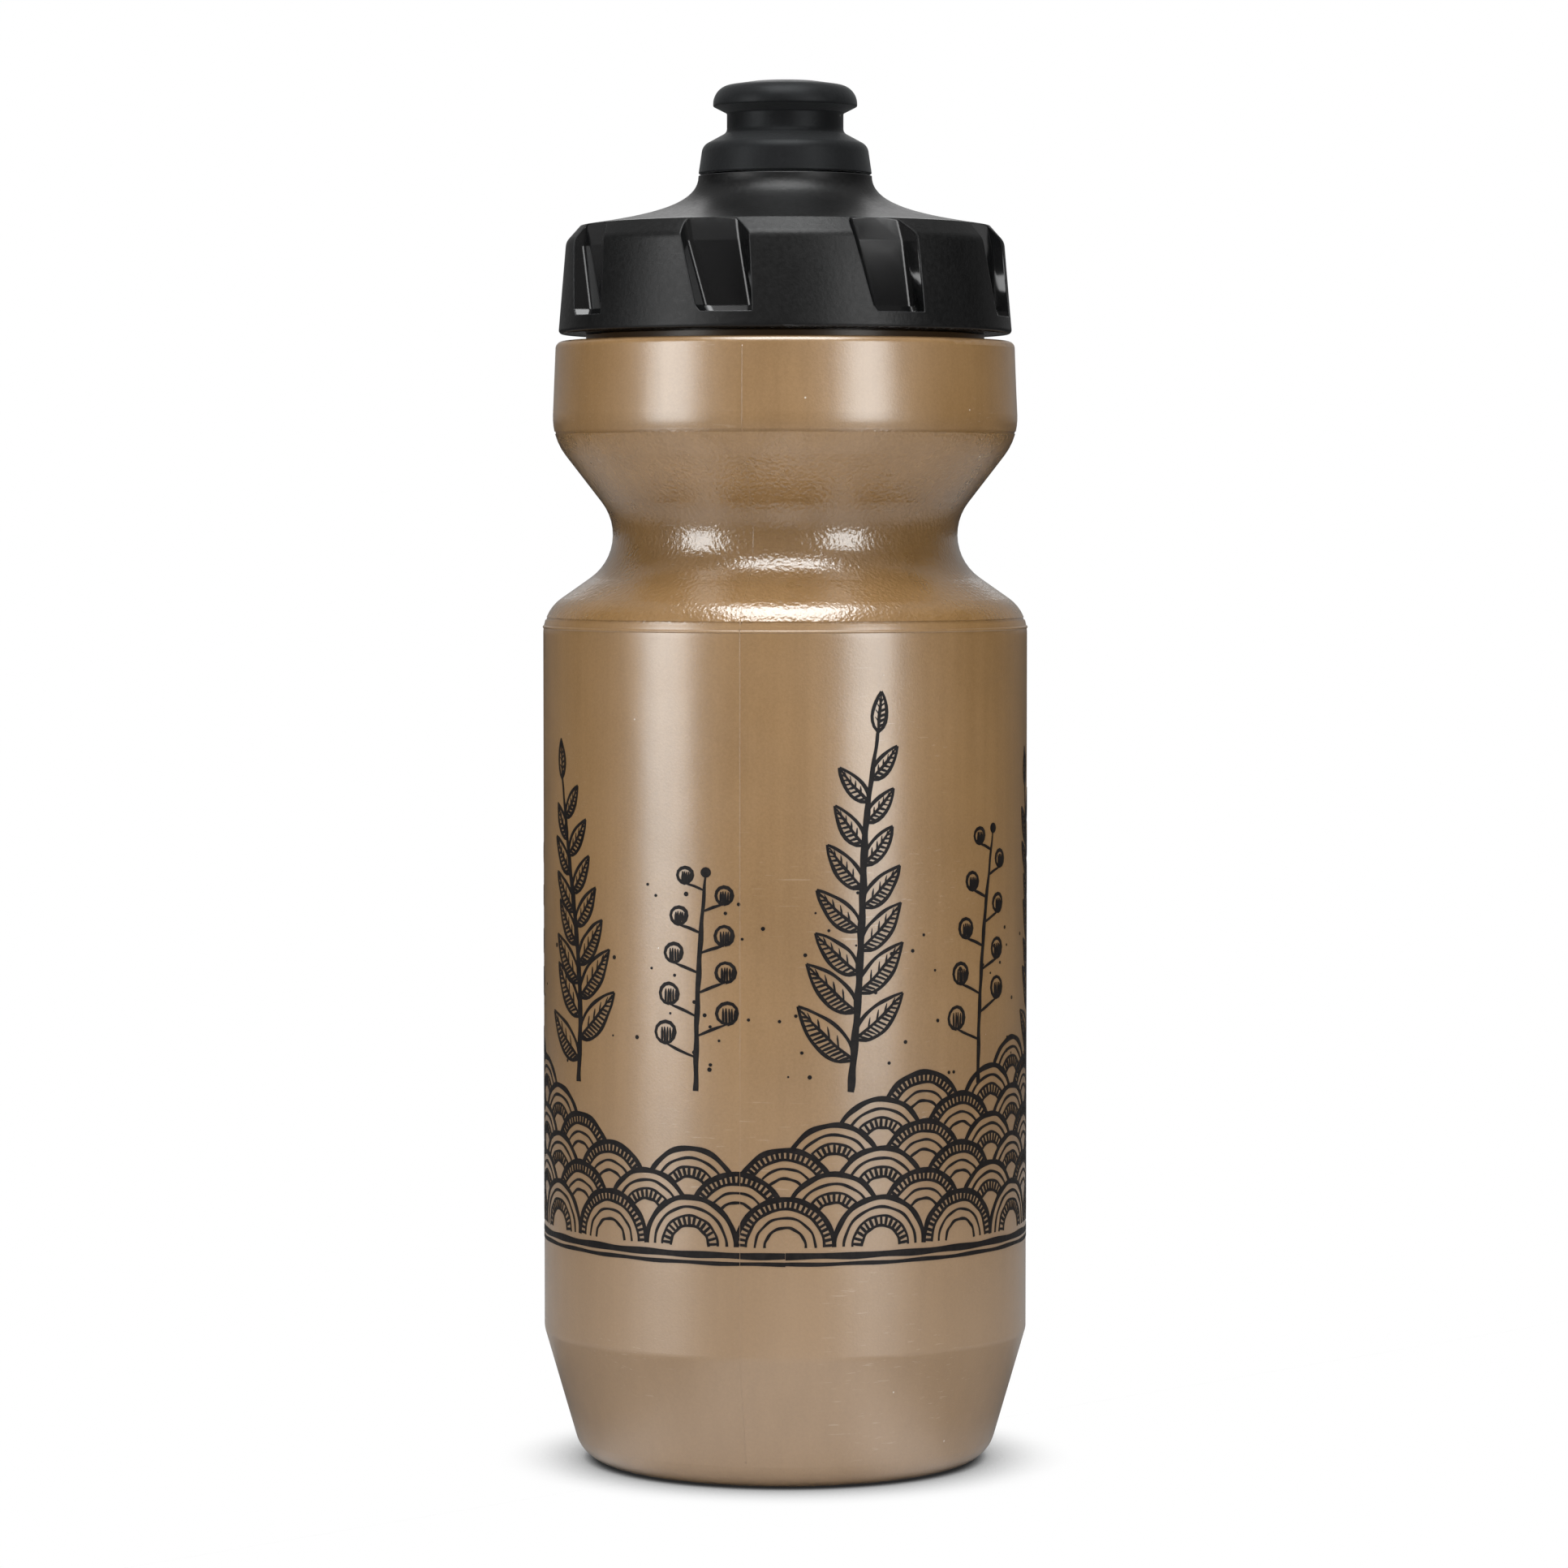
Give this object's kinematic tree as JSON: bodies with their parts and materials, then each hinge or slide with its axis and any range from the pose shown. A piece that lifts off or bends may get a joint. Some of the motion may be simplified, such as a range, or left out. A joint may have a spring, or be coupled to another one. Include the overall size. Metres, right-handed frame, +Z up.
{
  "type": "water bottle",
  "caption": "Squeezable bicycle water bottle with a finger waist, a screw lid with grip scoops and a push-pull drinking nozzle.",
  "frame": {"origin": "on the ground, at the centre of the base's contact ring", "axes": "+Z up along the bottle's axis towards the nozzle, -Y the front that the picture shows, +X to its right"},
  "size_m": [0.0742, 0.0742, 0.2107],
  "materials": {
    "bottle_plastic": "satin pearl low-density polyethylene",
    "lid_plastic": "matt black polypropylene, glossy in the grip scoops",
    "mouthpiece_rubber": "matt soft thermoplastic elastomer",
    "core_plastic": "smooth polypropylene",
    "post_plastic": "smooth polypropylene",
    "seal_rubber": "silicone rubber",
    "valve_silicone": "translucent silicone",
    "print_ink": "screen-printed dark brown ink"
  },
  "bodies": {
    "bottle": {"bottle_body": "bottle_plastic"},
    "seal": {"lid_gasket": "seal_rubber"},
    "lid": {"lid_shell": "lid_plastic", "closing_post": "post_plastic"},
    "nozzle": {"nozzle_core": "core_plastic", "mouthpiece": "mouthpiece_rubber", "nozzle_o_ring": "seal_rubber", "slit_valve": "valve_silicone", "valve_retainer": "post_plastic"}
  },
  "joints": [
    {"name": "lid_turn", "type": "hinge", "parent": "seal", "child": "lid", "pos_m": [0, 0, 0.1795], "axis": [0, 0, 1], "range_deg": [0, 720]},
    {"name": "lid_rise", "type": "slide", "parent": "bottle", "child": "seal", "axis": [0, 0, 1], "range_m": [0, 0.00801]},
    {"name": "nozzle_slide", "type": "slide", "parent": "lid", "child": "nozzle", "axis": [0, 0, 1], "range_m": [0, 0.006]}
  ],
  "couplings": [
    {"joint": "lid_rise", "follows": "lid_turn", "m_per_rad": 0.00063662}
  ]
}
